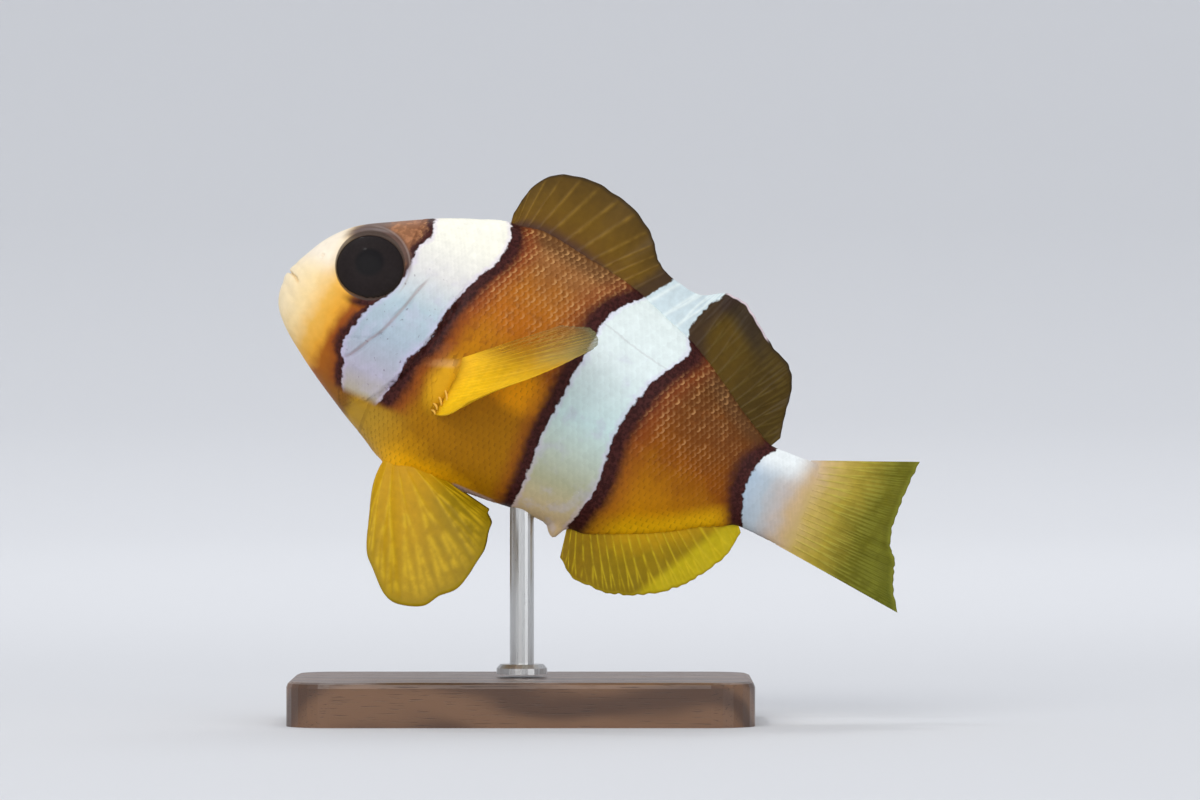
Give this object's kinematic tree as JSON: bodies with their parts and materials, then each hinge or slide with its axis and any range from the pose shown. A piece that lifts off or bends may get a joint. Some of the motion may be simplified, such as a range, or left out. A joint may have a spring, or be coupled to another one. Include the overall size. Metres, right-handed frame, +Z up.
{
  "type": "clownfish display model",
  "caption": "Still, life-size model of a young banded anemonefish, nose-up on a short rod over a flat rectangular base.",
  "frame": {"origin": "the middle of the underside of the stand's base", "axes": "+Z up, +X towards the tail along the fish's length, +Y towards the fish's right side"},
  "size_m": [0.0583, 0.028, 0.0497],
  "materials": {
    "skin": "satin, painted orange-brown with three white bars edged in dark brown",
    "eye": "gloss, near black",
    "fin_brown": "satin, olive brown",
    "fin_yellow": "satin, golden yellow",
    "fin_pale_yellow": "satin, pale olive yellow",
    "stand_wood": "satin, dark walnut",
    "stand_steel": "satin"
  },
  "bodies": {
    "root": {"head": "skin", "lower_jaw": "skin", "gill_cover_left": "skin", "gill_cover_right": "skin", "trunk": "skin", "tail_stem": "skin", "eye_left": "eye", "eye_right": "eye", "dorsal_fin_spiny": "fin_brown", "dorsal_fin_soft": "fin_brown", "anal_fin": "fin_yellow", "tail_fin": "fin_pale_yellow", "pectoral_fin_left": "fin_yellow", "pectoral_fin_right": "fin_yellow", "pelvic_fin_left": "fin_yellow", "pelvic_fin_right": "fin_yellow", "stand_base": "stand_wood", "stand_rod": "stand_steel"}
  },
  "joints": []
}
